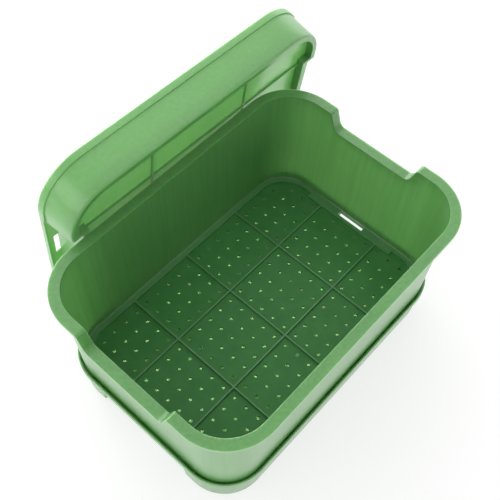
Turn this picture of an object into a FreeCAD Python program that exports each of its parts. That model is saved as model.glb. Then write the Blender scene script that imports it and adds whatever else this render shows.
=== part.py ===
import FreeCAD, Part
import math
import os

import Sketcher
from FreeCAD import Placement, Rotation, Vector

# A moulded play box in three loose pieces: a shallow tray that stands on the ground, a perforated
# bin that nests in the tray, and a lid (a second tray turned over) that leans behind the bin.
# X runs along the box, Y across it towards the lid, Z up. The pieces are drawn about the tray's
# centre, and then moved so that the origin is on the ground in the middle of all three.

doc = FreeCAD.newDocument("PlayBox")

# ---------------------------------------------------------------- driving dimensions (mm, degrees)

DIMENSIONS = [
    # thickness of the moulded plastic
    ("wall", 2.4, "wall of every moulding"),
    # tray and lid: one outline
    ("tray_length", 440.0, "tray rim, outside"),
    ("tray_width", 300.0, "tray rim, outside"),
    ("tray_corner", 61.0, "outer corner radius of the tray rim"),
    ("tray_depth", 55.0, "tray height, foot to rim"),
    ("band_height", 10.0, "height of the stepped-out rim band"),
    ("band_step", 2.0, "step from the rim band in to the skirt"),
    ("skirt_draft", 3.9, "draft of the tray skirt"),
    ("foot_fillet", 3.5, "outer rounding between skirt and foot ring"),
    ("ring_inset", 15.3, "rim edge to the inner edge of the foot ring, in plan"),
    ("ring_corner", 45.7, "inner corner radius of the foot ring"),
    ("recess_depth", 11.0, "foot ring plane to the recessed panel"),
    ("panel_rib", 3.0, "ribs stand out of the recessed panel by this"),
    ("rib_width", 2.2, "width of every rib"),
    ("cross_rib_pitch", 162.0, "distance between the tray's two cross ribs"),
    ("long_rib_pitch", 140.0, "distance between the tray's two long ribs"),
    ("grip_width", 149.0, "finger recess in each end of the tray"),
    ("grip_inset", 20.5, "rim edge to the back wall of the finger recess, at the foot"),
    ("grip_ring", 10.0, "foot ring width inside the finger recess"),
    ("grip_ring_side", 4.5, "foot ring width beside the finger recess"),
    ("slot_inset", 13.0, "tray rim edge to the middle of the drain slot"),
    ("slot_width", 8.0, "width of every drain slot"),
    ("slot_length", 43.0, "length of every drain slot"),
    # bin
    ("bin_length", 458.0, "bin rim, outside"),
    ("bin_width", 320.0, "bin rim, outside"),
    ("bin_corner", 69.0, "outer corner radius of the bin rim"),
    ("bin_height", 176.0, "bin height, underside to rim"),
    ("rim_width", 13.7, "width of the flat rim band"),
    ("rim_height", 4.0, "thickness of the rim"),
    ("bin_draft", 1.3, "draft of the bin wall"),
    ("bin_stand", 38.0, "ground to the underside of the bin, on the tray's end platforms"),
    ("floor_rise", 6.0, "bin underside to the tops of ribs and ledge"),
    ("floor_rib", 3.5, "ribs stand out of the perforated panel by this"),
    ("ledge_long", 409.0, "length inside the floor ledge"),
    ("ledge_wide", 266.0, "width inside the floor ledge"),
    ("ledge_corner", 45.0, "inner corner radius of the floor ledge"),
    ("ledge_round", 2.0, "fillet between wall and ledge"),
    ("floor_rib_x", 101.0, "spacing of the floor's cross ribs"),
    ("floor_rib_y", 50.0, "middle of the bin to each long rib"),
    ("shelf_width", 150.0, "end shelf in the bin floor"),
    ("shelf_reach", 7.5, "end shelf stands in from the ledge by this"),
    ("bin_slot_inset", 23.0, "bin rim edge to the middle of the drain slot"),
    ("hole_diameter", 4.4, "drain hole"),
    ("hole_pitch", 20.0, "spacing of the drain holes both ways"),
    ("hole_columns", 20, "drain holes along the bin"),
    ("hole_rows", 11, "full rows of drain holes across the bin"),
    ("notch_width", 138.0, "hand notch at the rim"),
    ("notch_floor", 120.0, "hand notch at its bottom, where the sides would meet it"),
    ("notch_depth", 27.0, "hand notch below the rim"),
    ("notch_round", 10.0, "rounding at the bottom of the hand notch"),
    ("notch_shoulder", 4.5, "rounding where the hand notch meets the rim"),
    # where the lid stands
    ("lid_shift", 63.3, "middle of the lid along X"),
    ("lid_lean", 6.9, "lid leans towards the bin by this angle"),
    ("lid_turn", -1.3, "lid turned about the vertical"),
    ("lid_gap", 0.4, "lid face to the bin's rim where they come nearest"),
    ("lid_corner", 65.0, "outer corner radius of the lid's rim"),
    ("lid_shelf", 49.9, "height of the lid's end platforms above its foot ring"),
]

sheet = doc.addObject("Spreadsheet::Sheet", "sizes")
for row, (alias, size, meaning) in enumerate(DIMENSIONS, start=1):
    sheet.set(f"A{row}", meaning)
    sheet.set(f"B{row}", str(size))
    sheet.setAlias(f"B{row}", alias)
doc.recompute()


def formula(text):
    """Turn plain size names into references to the sheet's cells."""
    words = sorted((alias for alias, _, _ in DIMENSIONS), key=len, reverse=True)
    parts = []
    token = ""
    for letter in text + " ":
        if letter.isalnum() or letter == "_":
            token += letter
            continue
        parts.append("sizes." + token if token in words else token)
        parts.append(letter)
        token = ""
    return "".join(parts).strip()


def value(text):
    """The number that a formula gives now."""
    return float(sheet.evalExpression(formula(text)))


def bind(target, path, text):
    target.setExpression(path, formula(text))


# ---------------------------------------------------------------- sketches and features


def origin_feature(body, role):
    return next(item for item in body.Origin.OriginFeatures if item.Role == role)


def new_sketch(body, name, role, offset):
    """An empty sketch parallel to one of the body's own origin planes, moved along its normal."""
    sketch = body.newObject("Sketcher::SketchObject", name)
    sketch.AttachmentSupport = (origin_feature(body, role), [""])
    sketch.MapMode = "FlatFace"
    bind(sketch, ".AttachmentOffset.Base.z", offset)
    return sketch


def name_size(sketch, kind, *arguments, label, size):
    """Add a dimension to a sketch and tie it to a formula."""
    index = sketch.addConstraint(Sketcher.Constraint(kind, *arguments, value(size)))
    sketch.renameConstraint(index, label)
    bind(sketch, "Constraints." + label, size)


def rounded_rectangle(body, name, level, length, width, radius):
    """A rectangle with round corners, centred on Z at a level."""
    sketch = new_sketch(body, name, "XY_Plane", level)
    far_x = value(length) / 2
    far_y = value(width) / 2
    near_x = far_x - value(radius)
    near_y = far_y - value(radius)
    sides = [
        (Vector(-near_x, -far_y), Vector(near_x, -far_y)),
        (Vector(far_x, -near_y), Vector(far_x, near_y)),
        (Vector(near_x, far_y), Vector(-near_x, far_y)),
        (Vector(-far_x, near_y), Vector(-far_x, -near_y)),
    ]
    centres = [(near_x, -near_y), (near_x, near_y), (-near_x, near_y), (-near_x, -near_y)]
    for side, (start, end) in enumerate(sides):
        sketch.addGeometry(Part.LineSegment(start, end))
        circle = Part.Circle(Vector(*centres[side]), Vector(0, 0, 1), value(radius))
        angle = math.radians(90 * side)
        sketch.addGeometry(Part.ArcOfCircle(circle, angle - math.pi / 2, angle))
    # geometry runs round the outline: line 0, arc 1, line 2, arc 3, line 4, arc 5, line 6, arc 7
    for item in range(8):
        sketch.addConstraint(Sketcher.Constraint("Tangent", item, 2, (item + 1) % 8, 1))
    for item, kind in ((0, "Horizontal"), (2, "Vertical"), (4, "Horizontal"), (6, "Vertical")):
        sketch.addConstraint(Sketcher.Constraint(kind, item))
    for item in (3, 5, 7):
        sketch.addConstraint(Sketcher.Constraint("Equal", 1, item))
    sketch.addConstraint(Sketcher.Constraint("Symmetric", 7, 3, 3, 3, -1, 1))
    name_size(sketch, "DistanceX", 6, 1, 2, 1, label="length", size=length)
    name_size(sketch, "DistanceY", 0, 1, 4, 1, label="width", size=width)
    name_size(sketch, "Radius", 1, label="radius", size=radius)
    return sketch


def rectangle(body, name, level, centre_x, centre_y, length, width):
    """A plain rectangle at a level, by its centre, which may be negative, and its two sizes."""
    sketch = new_sketch(body, name, "XY_Plane", level)
    left = value(centre_x) - value(length) / 2
    right = value(centre_x) + value(length) / 2
    low = value(centre_y) - value(width) / 2
    high = value(centre_y) + value(width) / 2
    corners = [Vector(left, low), Vector(right, low), Vector(right, high), Vector(left, high)]
    for item in range(4):
        sketch.addGeometry(Part.LineSegment(corners[item], corners[(item + 1) % 4]))
    for item in range(4):
        sketch.addConstraint(Sketcher.Constraint("Coincident", item, 2, (item + 1) % 4, 1))
        kind = "Vertical" if item % 2 else "Horizontal"
        sketch.addConstraint(Sketcher.Constraint(kind, item))
    name_size(sketch, "DistanceX", 0, 1, 0, 2, label="length", size=length)
    name_size(sketch, "DistanceY", 1, 1, 1, 2, label="width", size=width)
    name_size(sketch, "DistanceX", -1, 1, 0, 1, label="left", size=f"{centre_x} - ({length}) / 2")
    name_size(sketch, "DistanceY", -1, 1, 0, 1, label="low", size=f"{centre_y} - ({width}) / 2")
    return sketch


def bitten_rectangle(body, name, level, length, width, radius, inner_length, bite_width):
    """A rounded rectangle with a rectangular bite out of each end. inner_length is the distance
    between the two bites."""
    sketch = new_sketch(body, name, "XY_Plane", level)
    far_x = value(length) / 2
    far_y = value(width) / 2
    corner = value(radius)
    bite_x = value(inner_length) / 2
    bite_y = value(bite_width) / 2
    # the straight lines between the two round corners of one end
    right = [
        Part.LineSegment(Vector(far_x, corner - far_y), Vector(far_x, -bite_y)),
        Part.LineSegment(Vector(far_x, -bite_y), Vector(bite_x, -bite_y)),
        Part.LineSegment(Vector(bite_x, -bite_y), Vector(bite_x, bite_y)),
        Part.LineSegment(Vector(bite_x, bite_y), Vector(far_x, bite_y)),
        Part.LineSegment(Vector(far_x, bite_y), Vector(far_x, far_y - corner)),
    ]
    for side in (1, -1):
        sketch.addGeometry(Part.LineSegment(
            Vector(side * (corner - far_x), -side * far_y),
            Vector(side * (far_x - corner), -side * far_y)))
        for place in (-1, 1):
            centre = Vector(side * (far_x - corner), side * place * (far_y - corner))
            start = (0 if place > 0 else -math.pi / 2) + (0 if side > 0 else math.pi)
            arc = Part.ArcOfCircle(Part.Circle(centre, Vector(0, 0, 1), corner),
                                   start, start + math.pi / 2)
            sketch.addGeometry(arc)
            if place < 0:
                for line in right:
                    sketch.addGeometry(Part.LineSegment(line.StartPoint * side,
                                                        line.EndPoint * side))
    # items 0 to 7 go round the right end (side, arc, five lines, arc), 8 to 15 the left
    for item in range(16):
        at_arc = item % 8 in (0, 1, 6, 7)
        kind = "Tangent" if at_arc else "Coincident"
        sketch.addConstraint(Sketcher.Constraint(kind, item, 2, (item + 1) % 16, 1))
    for item in (0, 3, 5, 8, 11, 13):
        sketch.addConstraint(Sketcher.Constraint("Horizontal", item))
    for item in (2, 6, 10, 14):
        sketch.addConstraint(Sketcher.Constraint("Vertical", item))
    for item in (7, 9, 15):
        sketch.addConstraint(Sketcher.Constraint("Equal", 1, item))
    sketch.addConstraint(Sketcher.Constraint("Symmetric", 1, 3, 9, 3, -1, 1))
    sketch.addConstraint(Sketcher.Constraint("Vertical", 1, 3, 7, 3))
    sketch.addConstraint(Sketcher.Constraint("Vertical", 9, 3, 15, 3))
    sketch.addConstraint(Sketcher.Constraint("Symmetric", 4, 1, 4, 2, -1))
    sketch.addConstraint(Sketcher.Constraint("Symmetric", 12, 1, 12, 2, -1))
    sketch.addConstraint(Sketcher.Constraint("Symmetric", 4, 1, 12, 1, -1, 1))
    name_size(sketch, "DistanceX", 14, 1, 2, 1, label="length", size=length)
    name_size(sketch, "DistanceY", 0, 1, 8, 1, label="width", size=width)
    name_size(sketch, "Radius", 1, label="radius", size=radius)
    name_size(sketch, "DistanceX", 12, 2, 4, 1, label="inner_length", size=inner_length)
    name_size(sketch, "DistanceY", 4, 1, 4, 2, label="bite_width", size=bite_width)
    return sketch


def extrude(body, kind, name, sketch, length, taper="0", downward=False):
    """Pad or pocket a sketch. A positive taper widens the far end."""
    feature = body.newObject("PartDesign::" + kind, name)
    feature.Profile = sketch
    feature.Type = "Length"
    # a pad grows along +Z and a pocket cuts along -Z until it is reversed
    feature.Reversed = downward if kind == "Pad" else not downward
    bind(feature, "Length", length)
    bind(feature, "TaperAngle", taper)
    return feature


def both_ends(body, name, originals):
    """Repeat features at the other end of the box."""
    mirror = body.newObject("PartDesign::Mirrored", name)
    mirror.Originals = originals
    mirror.MirrorPlane = (origin_feature(body, "YZ_Plane"), [""])
    body.Tip = mirror
    return mirror


def round_edges(body, name, radius, wanted):
    """Fillet those edges of the body whose bounding box passes the test."""
    doc.recompute()
    base = body.Tip
    edges = [
        f"Edge{number}"
        for number, edge in enumerate(base.Shape.Edges, start=1)
        if wanted(edge.BoundBox)
    ]
    if not edges:
        raise ValueError(f"{name}: no edges found")
    fillet = body.newObject("PartDesign::Fillet", name)
    fillet.Base = (base, edges)
    bind(fillet, "Radius", radius)
    body.Tip = fillet
    return fillet


def at_level(box, level):
    return abs(box.ZMin - level) < 0.01 and abs(box.ZMax - level) < 0.01


# ---------------------------------------------------------------- tray and lid


def build_tray(label, shelf, corner):
    """A shallow tray: rim band, drafted skirt, foot ring round a ribbed recess, and a finger
    recess in each end that closes in a slotted platform. The lid is the same, with higher
    platforms and rounder corners. shelf is the height of the platforms above the foot."""
    body = doc.addObject("PartDesign::Body", label)
    body.Label = label
    step = "(tray_depth - band_height)"
    slope = "tan(skirt_draft)"

    skirt = rounded_rectangle(
        body, label + "_skirt_outline", step, "tray_length - 2 * band_step",
        "tray_width - 2 * band_step", f"{corner} - band_step",
    )
    extrude(body, "Pad", label + "_skirt", skirt, step, "-skirt_draft", downward=True)
    round_edges(body, label + "_foot_round", "foot_fillet", lambda box: at_level(box, 0))

    band = rounded_rectangle(
        body, label + "_band_outline", step, "tray_length", "tray_width", corner,
    )
    extrude(body, "Pad", label + "_band", band, "band_height")
    band_bore = rounded_rectangle(
        body, label + "_band_bore_outline", "tray_depth", "tray_length - 2 * wall",
        "tray_width - 2 * wall", f"{corner} - wall",
    )
    extrude(body, "Pocket", label + "_band_bore", band_bore, "band_height - wall", downward=True)

    # the hollow: the same drafted outline one wall further in. Below the platforms it leaves a
    # block standing at each end
    block_top = f"min({shelf}; {step})"
    upper = rounded_rectangle(
        body, label + "_upper_hollow_outline", step, "tray_length - 2 * band_step - 2 * wall",
        "tray_width - 2 * band_step - 2 * wall", f"{corner} - band_step - wall",
    )
    extrude(body, "Pocket", label + "_hollow_mouth", upper, "wall")
    if value(block_top) < value(step):
        extrude(body, "Pocket", label + "_upper_hollow", upper, f"{step} - {block_top}",
                "-skirt_draft", downward=True)
    inset = f"(band_step + wall + ({step} - {block_top}) * {slope})"
    grip_back = "(tray_length / 2 - grip_inset)"
    lower = bitten_rectangle(
        body, label + "_lower_hollow_outline", block_top, f"tray_length - 2 * {inset}",
        f"tray_width - 2 * {inset}", f"{corner} - {inset}",
        f"2 * ({grip_back} - wall + {block_top} * {slope})",
        f"grip_width + 2 * wall - 2 * {block_top} * {slope}",
    )
    extrude(body, "Pocket", label + "_lower_hollow", lower, f"{block_top} - wall",
            "-skirt_draft", downward=True)
    floor = value("wall")
    beside_grip = value("grip_width / 2 + wall")
    round_edges(
        body, label + "_hollow_round", "foot_fillet - wall",
        lambda box: at_level(box, floor) and max(abs(box.YMin), abs(box.YMax)) > beside_grip + 1,
    )

    # the raised panel, which is a recess inside the foot ring when seen from below
    ring_edge = f"({grip_back} - grip_ring)"
    plateau = bitten_rectangle(
        body, label + "_plateau_outline", "wall / 2", "tray_length - 2 * ring_inset + 2 * wall",
        "tray_width - 2 * ring_inset + 2 * wall", "ring_corner + wall",
        f"2 * {ring_edge} + 2 * wall", "grip_width + 2 * grip_ring_side - 2 * wall",
    )
    extrude(body, "Pad", label + "_plateau", plateau, "recess_depth + wall / 2")
    recess = bitten_rectangle(
        body, label + "_recess_outline", "0", "tray_length - 2 * ring_inset",
        "tray_width - 2 * ring_inset", "ring_corner",
        f"2 * {ring_edge}", "grip_width + 2 * grip_ring_side",
    )
    extrude(body, "Pocket", label + "_recess", recess, "recess_depth")

    # each end: a platform that stands above the step where the shelf is that high, the finger
    # recess under it, and the drain slot
    ends = []
    if value(shelf) > value(step):
        cap_reach = f"grip_inset + wall - {step} * {slope} - wall / 2"
        cap = rectangle(
            body, label + "_platform_outline", step,
            f"tray_length / 2 - wall / 2 - ({cap_reach}) / 2", "0", cap_reach,
            f"grip_width + 2 * wall - 2 * {step} * {slope}",
        )
        ends.append(extrude(body, "Pad", label + "_platform", cap, f"{shelf} - {step}"))
    grip = rectangle(
        body, label + "_grip_outline", "0", f"{grip_back} + grip_inset", "0", "2 * grip_inset",
        "grip_width",
    )
    ends.append(extrude(body, "Pocket", label + "_grip", grip, f"{shelf} - wall", "-skirt_draft"))
    slot = rectangle(
        body, label + "_slot_outline", shelf, "tray_length / 2 - slot_inset", "0",
        "slot_width", "slot_length",
    )
    ends.append(extrude(body, "Pocket", label + "_slot", slot, "2 * wall", downward=True))
    both_ends(body, label + "_ends", ends)

    # thin ribs on the outer side of the panel
    ribs = [
        ("cross_rib", "cross_rib_pitch / 2", "0", "rib_width", "tray_width - 2 * ring_inset + wall"),
        ("long_rib", "0", "long_rib_pitch / 2", f"2 * {ring_edge} + wall", "rib_width"),
    ]
    for name, centre_x, centre_y, length, width in ribs:
        for side in ("", "-"):
            rib = rectangle(
                body, f"{label}_{name}_outline_{len(side)}", "recess_depth - panel_rib",
                side + centre_x, side + centre_y, length, width,
            )
            extrude(body, "Pad", f"{label}_{name}_{len(side)}", rib, "panel_rib + wall / 2")
    return body


tray = build_tray("tray", "bin_stand", "tray_corner")
lid = build_tray("lid", "lid_shelf", "lid_corner")

# ---------------------------------------------------------------- bin


def notch_outline(body, name, grow, top):
    """The hand notch seen along X, grown outwards by a thickness: a shallow U with leaning sides
    and round bottom corners that runs up to a level."""
    sketch = new_sketch(body, name, "YZ_Plane", "0")
    radius = f"notch_round + {grow}"
    floor = f"bin_stand + bin_height - notch_depth - {grow}"
    side_lean = "(notch_width - notch_floor) / 2 / notch_depth"
    across = (
        f"notch_floor + 2 * ({top} - bin_stand - bin_height + notch_depth) * {side_lean}"
        f" + 2 * {grow} * sqrt(1 + ({side_lean})^2)"
    )
    turn = math.atan(1 / value(side_lean))
    rise = Vector(value(across) / 2, value(top))
    sharp = rise - Vector(1, math.tan(turn)) * ((value(top) - value(floor)) / math.tan(turn))
    cut = value(radius) * math.tan(turn / 2)
    flat_end = sharp - Vector(cut, 0)
    side_end = sharp + Vector(math.cos(turn), math.sin(turn)) * cut
    centre = flat_end + Vector(0, value(radius))

    def mirrored(point):
        return Vector(-point.x, point.y)

    down = -math.pi / 2
    right_arc = Part.Circle(centre, Vector(0, 0, 1), value(radius))
    left_arc = Part.Circle(mirrored(centre), Vector(0, 0, 1), value(radius))
    sketch.addGeometry(Part.LineSegment(mirrored(flat_end), flat_end))
    sketch.addGeometry(Part.ArcOfCircle(right_arc, down, down + turn))
    sketch.addGeometry(Part.LineSegment(side_end, rise))
    sketch.addGeometry(Part.LineSegment(rise, mirrored(rise)))
    sketch.addGeometry(Part.LineSegment(mirrored(rise), mirrored(side_end)))
    sketch.addGeometry(Part.ArcOfCircle(left_arc, down - turn, down))
    for first, second in ((0, 1), (1, 2), (4, 5), (5, 0)):
        sketch.addConstraint(Sketcher.Constraint("Tangent", first, 2, second, 1))
    sketch.addConstraint(Sketcher.Constraint("Coincident", 2, 2, 3, 1))
    sketch.addConstraint(Sketcher.Constraint("Coincident", 3, 2, 4, 1))
    sketch.addConstraint(Sketcher.Constraint("Symmetric", 0, 1, 0, 2, -2))
    sketch.addConstraint(Sketcher.Constraint("Symmetric", 3, 1, 3, 2, -2))
    sketch.addConstraint(Sketcher.Constraint("Equal", 1, 5))
    name_size(sketch, "DistanceY", -1, 1, 0, 1, label="floor", size=floor)
    name_size(sketch, "DistanceY", -1, 1, 3, 1, label="top", size=top)
    name_size(sketch, "DistanceX", 3, 2, 3, 1, label="across", size=across)
    name_size(sketch, "DistanceX", 0, 1, 0, 2, label="flat",
              size=f"notch_floor + 2 * {grow} * (sqrt(1 + ({side_lean})^2) - {side_lean})"
                   f" - 2 * ({radius}) * tan(atan(1 / ({side_lean})) / 2)")
    name_size(sketch, "Radius", 1, label="radius", size=radius)
    return sketch


def through_box(body, kind, name, sketch):
    """Run a YZ sketch along X through both ends of the bin."""
    feature = body.newObject("PartDesign::" + kind, name)
    feature.Profile = sketch
    feature.Midplane = True
    bind(feature, "Length", "bin_length" if kind == "Pad" else "bin_length + 2 * rim_width")
    return feature


def build_bin():
    """A tapered box with a flat rim that dips round a hand notch in each short side, a ledge and
    ribs in its floor, and drain holes in every floor panel."""
    body = doc.addObject("PartDesign::Body", "bin")
    body.Label = "bin"
    rim_top = "bin_stand + bin_height"
    floor_top = "bin_stand + floor_rise"
    panel_top = "bin_stand + floor_rise - floor_rib"
    mouth_length = "bin_length - 2 * rim_width"
    mouth_width = "bin_width - 2 * rim_width"
    mouth_corner = "bin_corner - rim_width"

    wall = rounded_rectangle(
        body, "wall_outline", rim_top, f"{mouth_length} + 2 * wall", f"{mouth_width} + 2 * wall",
        f"{mouth_corner} + wall",
    )
    extrude(body, "Pad", "wall_block", wall, "bin_height", "-bin_draft", downward=True)
    rim = rounded_rectangle(
        body, "rim_outline", f"{rim_top} - rim_height", "bin_length", "bin_width", "bin_corner",
    )
    extrude(body, "Pad", "rim", rim, "rim_height")
    through_box(body, "Pad", "notch_band",
                notch_outline(body, "notch_band_outline", "rim_height", rim_top))

    # inside, down to the ledge, then the floor panel with its ledge, shelves and ribs
    mouth = rounded_rectangle(
        body, "mouth_outline", rim_top, mouth_length, mouth_width, mouth_corner,
    )
    extrude(body, "Pocket", "mouth", mouth, "bin_height - floor_rise", "-bin_draft",
            downward=True)
    through_box(body, "Pocket", "notch",
                notch_outline(body, "notch_outline", "0", f"{rim_top} + rim_height"))
    rim_level = value(rim_top)
    notch_reach = value("notch_width") / 2 + 1
    round_edges(
        body, "notch_shoulders", "notch_shoulder",
        lambda box: at_level(box, rim_level) and box.YLength < 0.01 and abs(box.YMin) < notch_reach,
    )
    ledge_level = value(floor_top)
    round_edges(body, "ledge_fillet", "ledge_round", lambda box: at_level(box, ledge_level))
    panel = rounded_rectangle(
        body, "panel_outline", floor_top, "ledge_long", "ledge_wide", "ledge_corner",
    )
    extrude(body, "Pocket", "panel", panel, "floor_rib", downward=True)

    shelf_span = "shelf_reach + wall"
    shelf = rectangle(
        body, "shelf_outline", f"{panel_top} - wall / 2",
        f"ledge_long / 2 - shelf_reach + ({shelf_span}) / 2", "0", shelf_span, "shelf_width",
    )
    shelf_pad = extrude(body, "Pad", "shelf", shelf, "floor_rib + wall / 2")
    shelf_back = "bin_length / 2 - rim_width - bin_height * tan(bin_draft)"
    shelf_front = "ledge_long / 2 - shelf_reach + wall"
    under = rectangle(
        body, "shelf_under_outline", "bin_stand", f"({shelf_back} + {shelf_front}) / 2", "0",
        f"{shelf_back} - ({shelf_front})", "shelf_width - 2 * wall",
    )
    under_cut = extrude(body, "Pocket", "shelf_under", under, "floor_rise - wall")
    slot = rectangle(
        body, "slot_outline", floor_top, "bin_length / 2 - bin_slot_inset", "0", "slot_width",
        "slot_length",
    )
    slot_cut = extrude(body, "Pocket", "slot", slot, "floor_rise", downward=True)
    both_ends(body, "bin_ends", [shelf_pad, under_cut, slot_cut])

    rib_height = "floor_rib + wall / 2"
    rib_level = f"{panel_top} - wall / 2"
    for count, place in enumerate(("-floor_rib_x", "0", "floor_rib_x")):
        rib = rectangle(
            body, f"floor_cross_rib_outline_{count}", rib_level, place, "0", "rib_width",
            "ledge_wide + wall",
        )
        extrude(body, "Pad", f"floor_cross_rib_{count}", rib, rib_height)
    for count, place in enumerate(("-floor_rib_y", "floor_rib_y")):
        rib = rectangle(
            body, f"floor_long_rib_outline_{count}", rib_level, "0", place,
            "ledge_long - 2 * shelf_reach + wall", "rib_width",
        )
        extrude(body, "Pad", f"floor_long_rib_{count}", rib, rib_height)

    # drain holes: full rows in a grid, and one shorter row along each long side
    for name, rows, columns in (("hole", "hole_rows", "hole_columns"),
                                ("side_hole", "2", "hole_columns - 2")):
        sketch = new_sketch(body, name + "_outline", "XY_Plane", panel_top)
        start_x = f"({columns} - 1) / 2 * hole_pitch"
        start_y = "(hole_rows - 1) / 2 * hole_pitch" if name == "hole" else \
            "(hole_rows + 1) / 2 * hole_pitch"
        middle = Vector(-value(start_x), -value(start_y))
        sketch.addGeometry(Part.Circle(middle, Vector(0, 0, 1), value("hole_diameter") / 2))
        name_size(sketch, "DistanceX", 0, 3, -1, 1, label="start_x", size=start_x)
        name_size(sketch, "DistanceY", 0, 3, -1, 1, label="start_y", size=start_y)
        name_size(sketch, "Radius", 0, label="radius", size="hole_diameter / 2")
        drill = extrude(body, "Pocket", name, sketch, "floor_rise", downward=True)
        grid = body.newObject("PartDesign::LinearPattern", name + "_grid")
        grid.Originals = [drill]
        grid.Direction = (origin_feature(body, "X_Axis"), [""])
        grid.Direction2 = (origin_feature(body, "Y_Axis"), [""])
        bind(grid, "Length", f"({columns} - 1) * hole_pitch")
        bind(grid, "Length2", f"2 * ({start_y})")
        bind(grid, "Occurrences", columns)
        bind(grid, "Occurrences2", rows)
        body.Tip = grid
    return body


bin_body = build_bin()

# ---------------------------------------------------------------- the lid behind the bin

lean = math.radians(value("lid_lean"))
turn = math.radians(value("lid_turn"))
# it stands on whichever is lower, the edge of its rim band or the rounding of its skirt
band_edge = (value("tray_width") / 2 * math.cos(lean)
             - (value("tray_depth") - value("band_height")) * math.sin(lean))
skirt_height = value("tray_depth - band_height - foot_fillet")
skirt_edge = (value("tray_width") / 2 - value("band_step")
              - skirt_height * math.tan(math.radians(value("skirt_draft"))))
foot_edge = ((skirt_edge - value("foot_fillet")) * math.cos(lean)
             - value("foot_fillet") * math.sin(lean) + value("foot_fillet"))
lid_height = max(band_edge, foot_edge)
# the outer edge of the bin's rim comes nearest to the foot ring beside the lid's finger recess
nearest = value("grip_ring / 2 + grip_inset - tray_length / 2")
lid_back = (
    value("bin_width") / 2 + value("lid_gap")
    + (value("bin_stand + bin_height") - lid_height) * math.tan(lean) / math.cos(turn)
    - nearest * math.sin(turn)
)
lid.Placement = Placement(
    Vector(value("lid_shift"), lid_back, lid_height),
    Rotation(value("lid_turn"), 0, value("lid_lean") - 90),
)
doc.recompute()

# ---------------------------------------------------------------- the origin under all three

bodies = [tray, bin_body, lid]
whole = Part.makeCompound([body.Shape for body in bodies]).optimalBoundingBox(True, False)
middle = Placement(Vector(-whole.Center.x, -whole.Center.y, 0), Rotation())
for body in bodies:
    body.Placement = middle * body.Placement
doc.recompute()

# ---------------------------------------------------------------- checks and export

for item in doc.Objects:
    if "Invalid" in item.State or "Error" in item.State:
        raise ValueError(f"{item.Name} did not build: {item.State}")
for body in bodies:
    if body.Shape.isNull() or not body.Shape.isValid() or len(body.Shape.Solids) != 1:
        raise ValueError(f"{body.Label} is not one valid solid")

os.makedirs("parts", exist_ok=True)
for body in bodies:
    body.Shape.exportStep(f"parts/{body.Label}.step")
    box = body.Shape.optimalBoundingBox(True, False)
    print(
        f"{body.Label}: {body.Shape.Volume / 1000:.1f} cm3,"
        f" x {box.XMin:.1f} to {box.XMax:.1f}, y {box.YMin:.1f} to {box.YMax:.1f},"
        f" z {box.ZMin:.1f} to {box.ZMax:.1f}"
    )
print(f"tray centre: {tray.Placement.Base.x:.3f}, {tray.Placement.Base.y:.3f}")
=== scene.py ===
import bpy
import bmesh
import math
from mathutils import Matrix, Vector


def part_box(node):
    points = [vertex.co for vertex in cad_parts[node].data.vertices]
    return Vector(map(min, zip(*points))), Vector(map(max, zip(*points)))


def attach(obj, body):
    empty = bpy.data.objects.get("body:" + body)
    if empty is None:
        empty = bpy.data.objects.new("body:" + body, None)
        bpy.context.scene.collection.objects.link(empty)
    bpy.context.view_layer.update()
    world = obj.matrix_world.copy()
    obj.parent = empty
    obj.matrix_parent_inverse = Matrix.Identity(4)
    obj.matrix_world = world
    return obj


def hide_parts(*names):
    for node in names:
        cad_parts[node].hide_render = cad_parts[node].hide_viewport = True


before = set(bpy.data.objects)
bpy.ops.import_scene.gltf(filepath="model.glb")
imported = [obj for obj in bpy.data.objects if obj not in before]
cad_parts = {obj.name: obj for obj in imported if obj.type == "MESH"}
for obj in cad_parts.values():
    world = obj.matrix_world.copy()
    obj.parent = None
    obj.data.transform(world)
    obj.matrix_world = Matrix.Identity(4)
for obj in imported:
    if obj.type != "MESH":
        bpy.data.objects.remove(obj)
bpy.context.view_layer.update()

# ------------------------------------------------------------------------------------- camera
# The box is looked down into from its front left corner, with the horizon tilted a little.
eye = Vector((-0.42996, -0.35343, 1.0107))
aim = Vector((0.03934, 0.03367, 0.044))
tilt = math.radians(3.12)
forward = (aim - eye).normalized()
level = forward.cross(Vector((0, 0, 1))).normalized()
upright = level.cross(forward)
across = math.cos(tilt) * level + math.sin(tilt) * upright
above = math.cos(tilt) * upright - math.sin(tilt) * level
lens = bpy.data.cameras.new("camera")
lens.sensor_width = 36
lens.lens = 57.8
lens.dof.use_dof = False
camera = bpy.data.objects.new("camera", lens)
camera.matrix_world = Matrix.Translation(eye) @ Matrix(
    (across, above, -forward)
).transposed().to_4x4()
bpy.context.scene.collection.objects.link(camera)
bpy.context.scene.camera = camera

# --------------------------------------------------------------------------------------- tray
# The tray is one injection moulding in green polypropylene, 2.4 mm thick. It stands on the
# ring round its underside, and the bin's floor rests on the platforms at its two ends.


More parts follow.
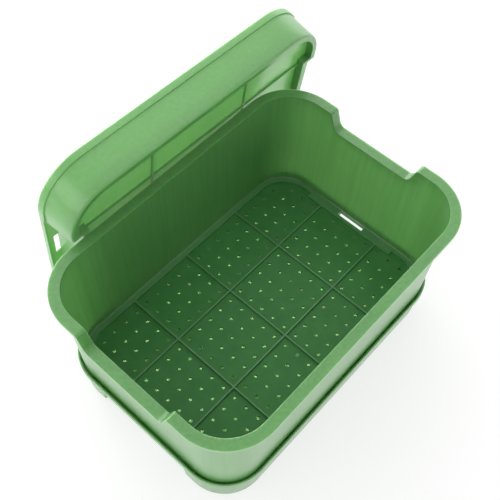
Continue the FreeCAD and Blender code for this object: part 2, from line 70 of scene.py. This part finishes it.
def green_plastic(name, body_green, streak_green, streak_spacing, gloss=0.6, light_reach=0.010):
    """Polypropylene out of a mould: flow marks that run up the walls, cloudy tone, fine grain.

    streak_spacing is the distance from one flow mark to the next, and light_reach is how far
    light goes into the plastic, both in metres. gloss is 0 for a dull face, 1 for a polished one.
    """
    flow_stretch = 50
    clouds_per_metre = 14
    grains_per_metre = 1100
    grain_depth = 0.00002
    streak_depth = 0.00015

    material = bpy.data.materials.new(name)
    material.use_nodes = True
    nodes = material.node_tree.nodes
    links = material.node_tree.links
    shader = nodes["Principled BSDF"]
    place = nodes.new("ShaderNodeTexCoord")

    drawn_out = nodes.new("ShaderNodeMapping")
    drawn_out.inputs["Scale"].default_value = (1, 1, 1 / flow_stretch)
    links.new(place.outputs["Object"], drawn_out.inputs["Vector"])
    flow = nodes.new("ShaderNodeTexNoise")
    flow.inputs["Scale"].default_value = 1 / streak_spacing
    flow.inputs["Detail"].default_value = 3
    flow.inputs["Roughness"].default_value = 0.6
    links.new(drawn_out.outputs["Vector"], flow.inputs["Vector"])
    flow_range = nodes.new("ShaderNodeMapRange")
    flow_range.inputs["From Min"].default_value = 0.35
    flow_range.inputs["From Max"].default_value = 0.65
    links.new(flow.outputs["Fac"], flow_range.inputs["Value"])

    cloud = nodes.new("ShaderNodeTexNoise")
    cloud.inputs["Scale"].default_value = clouds_per_metre
    cloud.inputs["Detail"].default_value = 2
    links.new(place.outputs["Object"], cloud.inputs["Vector"])

    streaked = nodes.new("ShaderNodeMix")
    streaked.data_type = "RGBA"
    streaked.inputs["A"].default_value = (*body_green, 1)
    streaked.inputs["B"].default_value = (*streak_green, 1)
    links.new(flow_range.outputs["Result"], streaked.inputs["Factor"])
    tone = nodes.new("ShaderNodeHueSaturation")
    tone_range = nodes.new("ShaderNodeMapRange")
    tone_range.inputs["To Min"].default_value = 0.92
    tone_range.inputs["To Max"].default_value = 1.08
    links.new(cloud.outputs["Fac"], tone_range.inputs["Value"])
    links.new(tone_range.outputs["Result"], tone.inputs["Value"])
    links.new(streaked.outputs["Result"], tone.inputs["Color"])
    links.new(tone.outputs["Color"], shader.inputs["Base Color"])

    polish = nodes.new("ShaderNodeMapRange")
    polish.inputs["To Min"].default_value = 0.30
    polish.inputs["To Max"].default_value = 0.42
    links.new(flow.outputs["Fac"], polish.inputs["Value"])
    links.new(polish.outputs["Result"], shader.inputs["Roughness"])

    grain = nodes.new("ShaderNodeTexNoise")
    grain.inputs["Scale"].default_value = grains_per_metre
    grain.inputs["Detail"].default_value = 2
    links.new(place.outputs["Object"], grain.inputs["Vector"])
    fine = nodes.new("ShaderNodeBump")
    fine.inputs["Strength"].default_value = 0.12
    fine.inputs["Distance"].default_value = grain_depth
    links.new(grain.outputs["Fac"], fine.inputs["Height"])
    drag = nodes.new("ShaderNodeBump")
    drag.inputs["Strength"].default_value = 0.3
    drag.inputs["Distance"].default_value = streak_depth
    links.new(flow.outputs["Fac"], drag.inputs["Height"])
    links.new(fine.outputs["Normal"], drag.inputs["Normal"])
    links.new(drag.outputs["Normal"], shader.inputs["Normal"])

    shader.inputs["IOR"].default_value = 1.5
    shader.inputs["Coat Weight"].default_value = gloss
    shader.inputs["Specular IOR Level"].default_value = 0.2 + 0.4 * gloss
    shader.inputs["Coat IOR"].default_value = 1.6
    shader.inputs["Coat Roughness"].default_value = 0.25
    shader.inputs["Subsurface Weight"].default_value = 1.0
    shader.inputs["Subsurface Radius"].default_value = (1.0, 1.0, 0.9)
    shader.inputs["Subsurface Scale"].default_value = light_reach
    return material


def moulded_copy(name, node, edge_round):
    """The node's shape as one joined mesh, with its sharp edges rounded as a mould leaves them."""
    same_point = 0.00001
    flat_within = math.radians(0.3)
    sharp_from = math.radians(32)

    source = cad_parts[node].data
    mesh = bpy.data.meshes.new(name)
    mesh.from_pydata(
        [vertex.co for vertex in source.vertices],
        [],
        [tuple(face.vertices) for face in source.polygons],
    )
    shell = bmesh.new()
    shell.from_mesh(mesh)
    bmesh.ops.remove_doubles(shell, verts=shell.verts, dist=same_point)
    bmesh.ops.dissolve_limit(
        shell, angle_limit=flat_within, verts=shell.verts, edges=shell.edges
    )
    for face in shell.faces:
        face.smooth = True
    shell.to_mesh(mesh)
    shell.free()
    piece = bpy.data.objects.new(name, mesh)
    bpy.context.scene.collection.objects.link(piece)
    rounding = piece.modifiers.new("rounding", "BEVEL")
    rounding.width = edge_round
    rounding.segments = 2
    rounding.limit_method = "ANGLE"
    rounding.angle_limit = sharp_from
    rounding.use_clamp_overlap = True
    shading = piece.modifiers.new("shading", "WEIGHTED_NORMAL")
    shading.weight = 80
    return piece


tray_edge_round = 0.0006
tray_plastic = green_plastic(
    "tray green", (0.118, 0.335, 0.098), (0.135, 0.352, 0.115), streak_spacing=0.006
)
tray = moulded_copy("tray_shell", "tray", tray_edge_round)
tray.data.materials.append(tray_plastic)
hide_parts("tray")
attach(tray, "tray")

# ---------------------------------------------------------------------------------------- bin
# The bin is the deep moulding: a tall wall with fine flow marks, a flat rim with two hand
# notches, and a perforated floor that its ribs and its raised ledge stand a little above. The
# floor is duller than the wall, and its colour is painted darker than the wall's as painted shade
# at the bottom of the deep bin. The tops of the ribs and of the ledge are painted lighter than
# the floor as a painted highlight.
bin_edge_round = 0.0007
rib_height = 0.006
floor_half_length = 0.206
floor_half_width = 0.1345
bin_plastic = green_plastic(
    "bin green", (0.112, 0.325, 0.090), (0.140, 0.360, 0.112), streak_spacing=0.005
)
# Painted shade: the floor is the wall's plastic, given a darker green for the shade at the bottom
# of the deep bin.
floor_painted_shade_plastic = green_plastic(
    "bin floor green painted shade",
    (0.075, 0.280, 0.080),
    (0.088, 0.305, 0.090),
    streak_spacing=0.03,
    gloss=0.0,
    light_reach=0.002,
)
# Painted highlight: the up-facing tops of the ribs and the ledge get a lighter green, for the
# light that falls on them.
rib_top_highlight_plastic = green_plastic(
    "bin rib top painted highlight green",
    (0.125, 0.340, 0.130),
    (0.140, 0.360, 0.145),
    streak_spacing=0.03,
    gloss=0.3,
    light_reach=0.002,
)
play_bin = moulded_copy("bin_shell", "bin", bin_edge_round)
for plastic in (bin_plastic, floor_painted_shade_plastic, rib_top_highlight_plastic):
    play_bin.data.materials.append(plastic)
floor_shade_index = 1
rib_top_highlight_index = 2
nearly_level = 0.0001

bin_low, bin_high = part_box("bin")
bin_middle = (bin_low + bin_high) / 2
rib_top = bin_low.z + rib_height
for face in play_bin.data.polygons:
    from_middle = face.center - bin_middle
    above_ribs = face.center.z - rib_top
    on_floor = abs(from_middle.x) < floor_half_length and abs(from_middle.y) < floor_half_width
    # Faces on the floor get the painted-shade green.
    if on_floor and above_ribs < 2 * nearly_level and face.normal.z > -0.5:
        face.material_index = floor_shade_index
    # Up-facing faces at rib-top height, the tops of the ribs and the ledge, get the
    # painted-highlight green.
    if abs(above_ribs) < nearly_level and face.normal.z > 0.9:
        face.material_index = rib_top_highlight_index
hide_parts("bin")
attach(play_bin, "bin")

# ---------------------------------------------------------------------------- drain hole edges
# The pins that core the drain holes leave a faint rolled edge of the same plastic round each
# one, and its colour is painted lighter than the floor as a painted highlight: twenty columns by
# eleven rows, and one shorter row along each long side.
hole_pitch = 0.020
hole_radius = 0.0022
roll_radius = 0.00032
panel_thickness = 0.0025

# Painted highlight: the rolled edges are coloured lighter than the floor, as lit rings round the
# holes.
hole_edge_highlight_plastic = green_plastic(
    "hole edge painted highlight green", (0.150, 0.400, 0.130), (0.160, 0.420, 0.140), streak_spacing=0.006
)
rolled_edges = bpy.data.node_groups.new("rolled hole edges", "GeometryNodeTree")
for label, kind in (
    ("Columns", "NodeSocketInt"),
    ("Rows", "NodeSocketInt"),
    ("Length", "NodeSocketFloat"),
    ("Width", "NodeSocketFloat"),
    ("Hole Radius", "NodeSocketFloat"),
    ("Roll Radius", "NodeSocketFloat"),
    ("Plastic", "NodeSocketMaterial"),
):
    rolled_edges.interface.new_socket(label, in_out="INPUT", socket_type=kind)
rolled_edges.interface.new_socket("Edges", in_out="OUTPUT", socket_type="NodeSocketGeometry")
tree = rolled_edges.nodes
wire = rolled_edges.links.new
given = tree.new("NodeGroupInput")
result = tree.new("NodeGroupOutput")
grid = tree.new("GeometryNodeMeshGrid")
wire(given.outputs["Columns"], grid.inputs["Vertices X"])
wire(given.outputs["Rows"], grid.inputs["Vertices Y"])
wire(given.outputs["Length"], grid.inputs["Size X"])
wire(given.outputs["Width"], grid.inputs["Size Y"])
hole = tree.new("GeometryNodeCurvePrimitiveCircle")
hole.inputs["Resolution"].default_value = 12
wire(given.outputs["Hole Radius"], hole.inputs["Radius"])
roll = tree.new("GeometryNodeCurvePrimitiveCircle")
roll.inputs["Resolution"].default_value = 5
wire(given.outputs["Roll Radius"], roll.inputs["Radius"])
edge = tree.new("GeometryNodeCurveToMesh")
wire(hole.outputs["Curve"], edge.inputs["Curve"])
wire(roll.outputs["Curve"], edge.inputs["Profile Curve"])
each = tree.new("GeometryNodeInstanceOnPoints")
wire(grid.outputs["Mesh"], each.inputs["Points"])
wire(edge.outputs["Mesh"], each.inputs["Instance"])
real = tree.new("GeometryNodeRealizeInstances")
wire(each.outputs["Instances"], real.inputs["Geometry"])
finish = tree.new("GeometryNodeSetMaterial")
wire(real.outputs["Geometry"], finish.inputs["Geometry"])
wire(given.outputs["Plastic"], finish.inputs["Material"])
wire(finish.outputs["Geometry"], result.inputs["Edges"])

joined_edges = bmesh.new()
for columns, rows, row_pitch in ((20, 11, hole_pitch), (18, 2, 12 * hole_pitch)):
    pattern = bpy.data.objects.new("hole pattern", bpy.data.meshes.new("hole pattern"))
    bpy.context.scene.collection.objects.link(pattern)
    modifier = pattern.modifiers.new("edges", "NODES")
    modifier.node_group = rolled_edges
    sizes = {
        "Columns": columns,
        "Rows": rows,
        "Length": (columns - 1) * hole_pitch,
        "Width": (rows - 1) * row_pitch,
        "Hole Radius": hole_radius + roll_radius,
        "Roll Radius": roll_radius,
        "Plastic": hole_edge_highlight_plastic,
    }
    for socket in rolled_edges.interface.items_tree:
        if socket.in_out == "INPUT":
            modifier[socket.identifier] = sizes[socket.name]
    evaluated = pattern.evaluated_get(bpy.context.evaluated_depsgraph_get())
    ring_mesh = bpy.data.meshes.new_from_object(evaluated)
    pattern.modifiers.remove(modifier)
    joined_edges.from_mesh(ring_mesh)
    bpy.data.objects.remove(pattern)
floor_middle = (bin_middle.x, bin_middle.y, bin_low.z + panel_thickness)
bmesh.ops.translate(joined_edges, verts=joined_edges.verts, vec=floor_middle)
bmesh.ops.recalc_face_normals(joined_edges, faces=joined_edges.faces)
for face in joined_edges.faces:
    face.smooth = True
edges_mesh = bpy.data.meshes.new("bin_hole_edges")
joined_edges.to_mesh(edges_mesh)
joined_edges.free()
edges_mesh.materials.append(hole_edge_highlight_plastic)
hole_edges = bpy.data.objects.new("bin_hole_edges", edges_mesh)
bpy.context.scene.collection.objects.link(hole_edges)
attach(hole_edges, "bin")

# ---------------------------------------------------------------------------------------- lid
# The lid is a second moulding of the tray's kind, in the same green polypropylene. It stands on
# its long edge and leans on the bin's rim, with its ribbed panel towards the bin.
lid_edge_round = 0.0006
lid_plastic = green_plastic(
    "lid green", (0.125, 0.345, 0.102), (0.142, 0.362, 0.118), streak_spacing=0.006
)
lid = moulded_copy("lid_shell", "lid", lid_edge_round)
lid.data.materials.append(lid_plastic)
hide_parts("lid")
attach(lid, "lid")

# ------------------------------------------------------------------------------ floor and light
# The pieces stand on plain white paper, under a soft studio light that comes mostly from the
# back. The paper is a hair below the tray's foot ring.
floor_half = 6.0
floor_height = -0.0003
floor_mesh = bpy.data.meshes.new("floor")
floor_mesh.from_pydata(
    [
        (-floor_half, -floor_half, floor_height),
        (floor_half, -floor_half, floor_height),
        (floor_half, floor_half, floor_height),
        (-floor_half, floor_half, floor_height),
    ],
    [],
    [(0, 1, 2, 3)],
)
floor = bpy.data.objects.new("floor", floor_mesh)
bpy.context.scene.collection.objects.link(floor)
paper = bpy.data.materials.new("white paper")
paper.use_nodes = True
paper_shader = paper.node_tree.nodes["Principled BSDF"]
paper_shader.inputs["Base Color"].default_value = (0.35, 0.35, 0.35, 1)
paper_shader.inputs["Roughness"].default_value = 0.9
paper_shader.inputs["Emission Color"].default_value = (1, 1, 1, 1)
paper_shader.inputs["Emission Strength"].default_value = 0.70
floor_mesh.materials.append(paper)

back_direction = (0.507, 0.862, 0)
front_strength = 0.62
back_strength = 3.7
world = bpy.data.worlds.new("studio")
world.use_nodes = True
sky_nodes = world.node_tree.nodes
sky_links = world.node_tree.links
direction = sky_nodes.new("ShaderNodeTexCoord")
towards_back = sky_nodes.new("ShaderNodeVectorMath")
towards_back.operation = "DOT_PRODUCT"
towards_back.inputs[1].default_value = back_direction
sky_links.new(direction.outputs["Generated"], towards_back.inputs[0])
half_turn = sky_nodes.new("ShaderNodeMapRange")
half_turn.inputs["From Min"].default_value = -1
sky_links.new(towards_back.outputs["Value"], half_turn.inputs["Value"])
fall_off = sky_nodes.new("ShaderNodeMath")
fall_off.operation = "POWER"
fall_off.inputs[1].default_value = 6
sky_links.new(half_turn.outputs["Result"], fall_off.inputs[0])
glow = sky_nodes.new("ShaderNodeMapRange")
glow.inputs["To Min"].default_value = front_strength
glow.inputs["To Max"].default_value = back_strength
sky_links.new(fall_off.outputs["Value"], glow.inputs["Value"])
sky_links.new(glow.outputs["Result"], sky_nodes["Background"].inputs["Strength"])
sky_nodes["Background"].inputs["Color"].default_value = (1, 1, 1, 1)
bpy.context.scene.world = world


def soft_light(name, place, target, size, power):
    """A square lamp at place, in watts, turned towards target."""
    lamp = bpy.data.lights.new(name, "AREA")
    lamp.shape = "SQUARE"
    lamp.size = size
    lamp.energy = power
    stand = bpy.data.objects.new(name, lamp)
    stand.rotation_euler = (Vector(target) - Vector(place)).to_track_quat("-Z", "Y").to_euler()
    stand.location = place
    bpy.context.scene.collection.objects.link(stand)


# One lamp lights the left side, and one behind the lid shines through its plastic.
soft_light("left softbox", place=(-1.9, 0.5, 1.3), target=(0, 0, 0.1), size=1.4, power=8)
soft_light("behind lid", place=(0.25, 1.0, 0.22), target=(0.05, 0.15, 0.18), size=0.7, power=9)

# A lamp under the tray stands in for a table lit from below: it shows in the drain holes.
table_gap = 0.0005
tray_low, tray_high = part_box("tray")
tray_middle = (tray_low + tray_high) / 2
table_lamp = bpy.data.lights.new("light table", "AREA")
table_lamp.shape = "RECTANGLE"
table_lamp.size = 0.39
table_lamp.size_y = 0.25
table_lamp.energy = 0.9
table_light = bpy.data.objects.new("light table", table_lamp)
table_light.location = (tray_middle.x, tray_middle.y, table_gap)
table_light.rotation_euler = (math.pi, 0, 0)
bpy.context.scene.collection.objects.link(table_light)

bpy.context.scene.view_settings.view_transform = "Standard"
